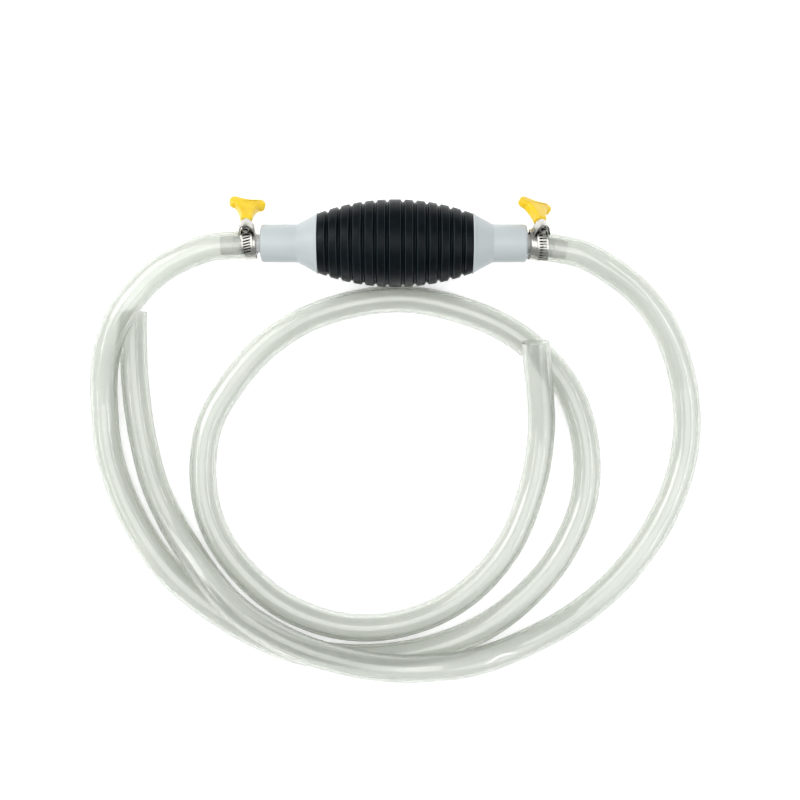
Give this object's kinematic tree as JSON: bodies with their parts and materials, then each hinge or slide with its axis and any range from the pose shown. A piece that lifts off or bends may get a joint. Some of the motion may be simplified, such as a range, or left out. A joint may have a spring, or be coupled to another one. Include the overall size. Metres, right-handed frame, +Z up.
{
  "type": "bulb siphon pump",
  "caption": "Hand-primed siphon pump: ribbed rubber squeeze bulb with a one-way valve in each end fitting, and a coiled clear hose on each end, held by a worm clamp with a butterfly key.",
  "frame": {"origin": "on the surface that the pump lies on, below the middle of the bulb, so the bottom centre of the pump without its hoses and clamps", "axes": "+X along the pump's axis towards the inlet, +Y towards the clamps' keys and away from the coiled hoses, +Z up"},
  "size_m": [0.3859, 0.3028, 0.054],
  "materials": {
    "black_rubber": "satin",
    "white_plastic": "satin",
    "clear_pvc": "clear, slightly milky",
    "nitrile": "satin",
    "spring_steel": "bright",
    "stainless": "bright rolled strip",
    "yellow_plastic": "gloss"
  },
  "bodies": {
    "pump": {"squeeze_bulb": "black_rubber", "inlet_end_cap": "white_plastic", "inlet_retaining_sleeve": "white_plastic", "inlet_valve_seat": "white_plastic", "inlet_valve_o_ring": "nitrile", "inlet_valve_cage": "white_plastic", "inlet_valve_spring": "spring_steel", "inlet_clamp_band": "stainless", "inlet_clamp_housing": "stainless", "inlet_hose": "clear_pvc", "outlet_end_cap": "white_plastic", "outlet_retaining_sleeve": "white_plastic", "outlet_valve_seat": "white_plastic", "outlet_valve_o_ring": "nitrile", "outlet_valve_cage": "white_plastic", "outlet_valve_spring": "spring_steel", "outlet_clamp_band": "stainless", "outlet_clamp_housing": "stainless", "outlet_hose": "clear_pvc"},
    "inlet_poppet": {"inlet_valve_poppet": "white_plastic"},
    "outlet_poppet": {"outlet_valve_poppet": "white_plastic"},
    "inlet_clamp_turn": {"inlet_clamp_screw": "stainless", "inlet_clamp_key": "yellow_plastic"},
    "outlet_clamp_turn": {"outlet_clamp_screw": "stainless", "outlet_clamp_key": "yellow_plastic"}
  },
  "joints": [
    {"name": "inlet_valve_lift", "type": "slide", "parent": "pump", "child": "inlet_poppet", "axis": [-1, 0, 0], "range_m": [0, 0.0035], "stiffness_N_per_m": 30, "springref_m": -0.002, "deforming": ["inlet_valve_spring"]},
    {"name": "outlet_valve_lift", "type": "slide", "parent": "pump", "child": "outlet_poppet", "axis": [-1, 0, 0], "range_m": [0, 0.0035], "stiffness_N_per_m": 30, "springref_m": -0.002, "deforming": ["outlet_valve_spring"]},
    {"name": "inlet_clamp_screw_turn", "type": "hinge", "parent": "pump", "child": "inlet_clamp_turn", "pos_m": [0.09013, 0.00861, 0.03666], "axis": [-0.1384, 0.7057, -0.6948], "continuous": true},
    {"name": "outlet_clamp_screw_turn", "type": "hinge", "parent": "pump", "child": "outlet_clamp_turn", "pos_m": [-0.09123, 0.00875, 0.03733], "axis": [-0.0344, 0.7424, -0.669], "continuous": true}
  ]
}
